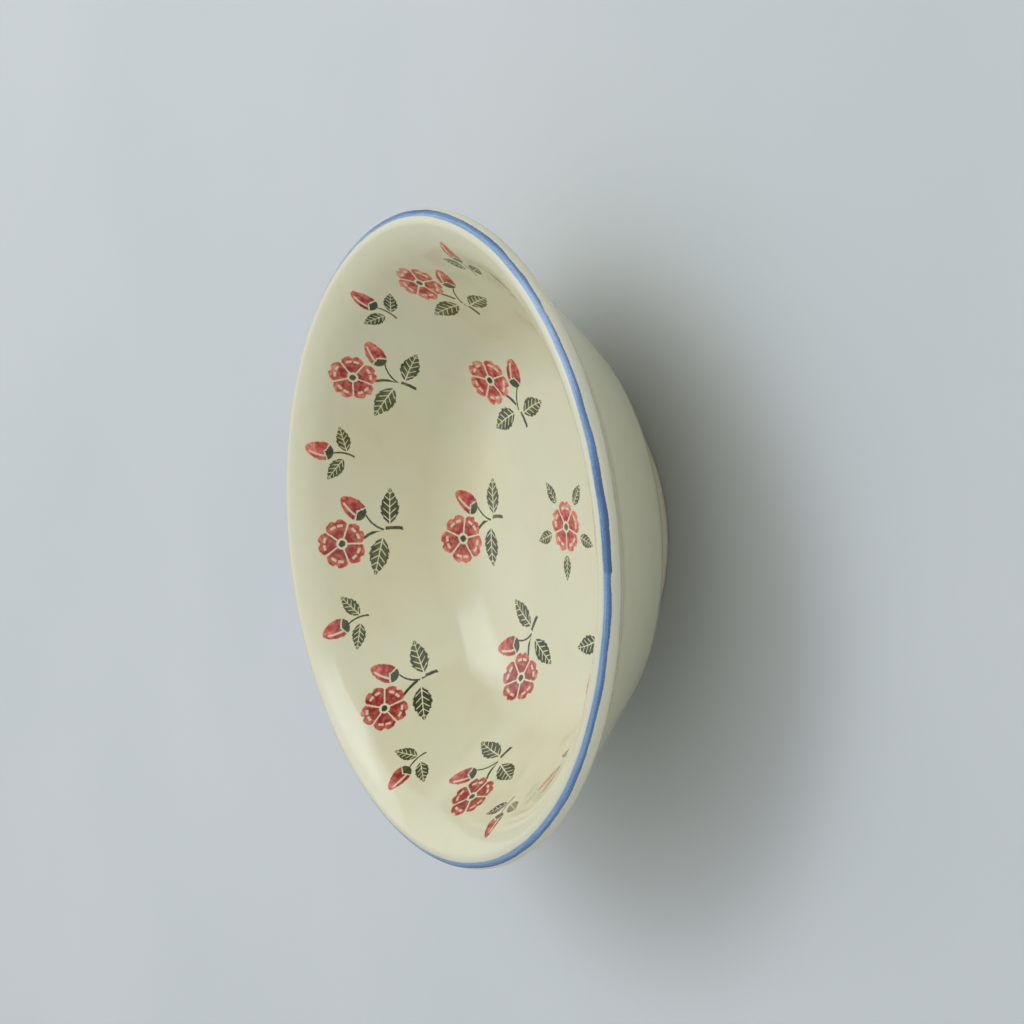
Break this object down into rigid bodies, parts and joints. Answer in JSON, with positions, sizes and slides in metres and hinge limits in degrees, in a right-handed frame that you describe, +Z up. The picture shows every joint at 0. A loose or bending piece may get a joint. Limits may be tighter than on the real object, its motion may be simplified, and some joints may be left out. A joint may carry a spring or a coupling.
{
  "type": "porridge bowl",
  "caption": "Round earthenware porridge bowl with a flared lip, a blue rim band, cream glaze inside and out, and a low foot ring.",
  "frame": {"origin": "centre of the foot ring on the plane the bowl stands on", "axes": "+Z up along the bowl's axis, out of its mouth; +X and +Y are free, as the bowl is round"},
  "size_m": [0.17, 0.17, 0.05],
  "materials": {
    "clay": "bare fired earthenware, matte",
    "inside_glaze": "glossy cream glaze over printed sprigs",
    "outside_glaze": "glossy cream glaze",
    "underside_glaze": "glossy cream glaze",
    "band": "glossy blue, brushed by hand"
  },
  "bodies": {
    "root": {"clay_body": "clay", "inside_glaze": "inside_glaze", "outside_glaze": "outside_glaze", "underside_glaze": "underside_glaze", "rim_band": "band"}
  },
  "joints": []
}
